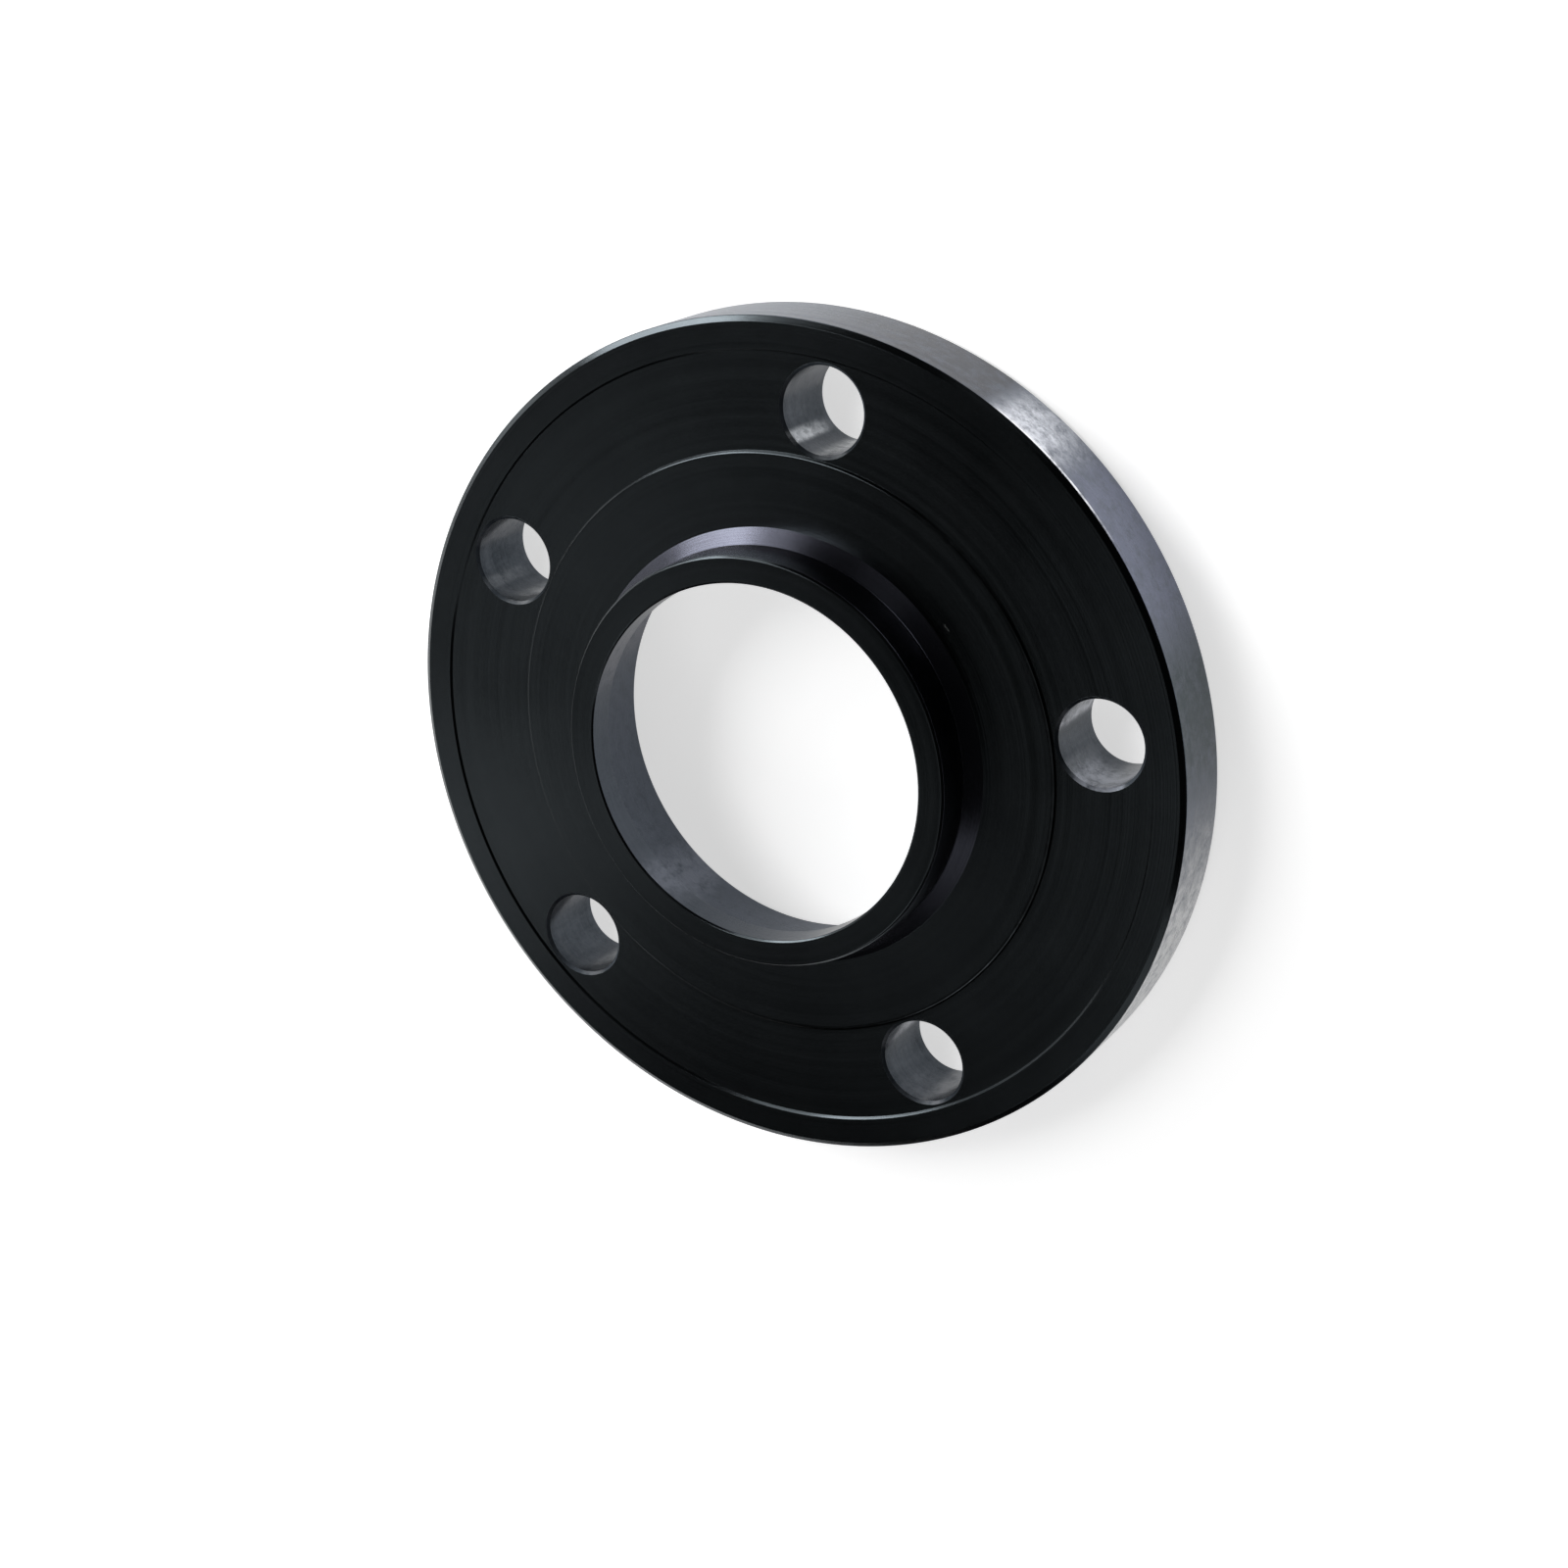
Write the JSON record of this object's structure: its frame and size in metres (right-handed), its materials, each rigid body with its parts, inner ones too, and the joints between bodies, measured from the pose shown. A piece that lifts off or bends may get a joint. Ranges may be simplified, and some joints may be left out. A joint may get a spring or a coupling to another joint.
{
  "type": "wheel spacer",
  "caption": "Flat round spacer ring with a central bore, a raised centring lip and bolt holes, to set a road wheel further out from its hub.",
  "frame": {"origin": "on the ring's axis, at the hub face, the flat back that the part lies on", "axes": "+Z along the ring's axis, from the hub face towards the wheel face and the centring lip; one bolt hole is on +Y"},
  "size_m": [0.1484, 0.1484, 0.0247],
  "materials": {
    "black_anodised_aluminium": "satin"
  },
  "bodies": {
    "root": {"wheel_spacer": "black_anodised_aluminium"}
  },
  "joints": []
}
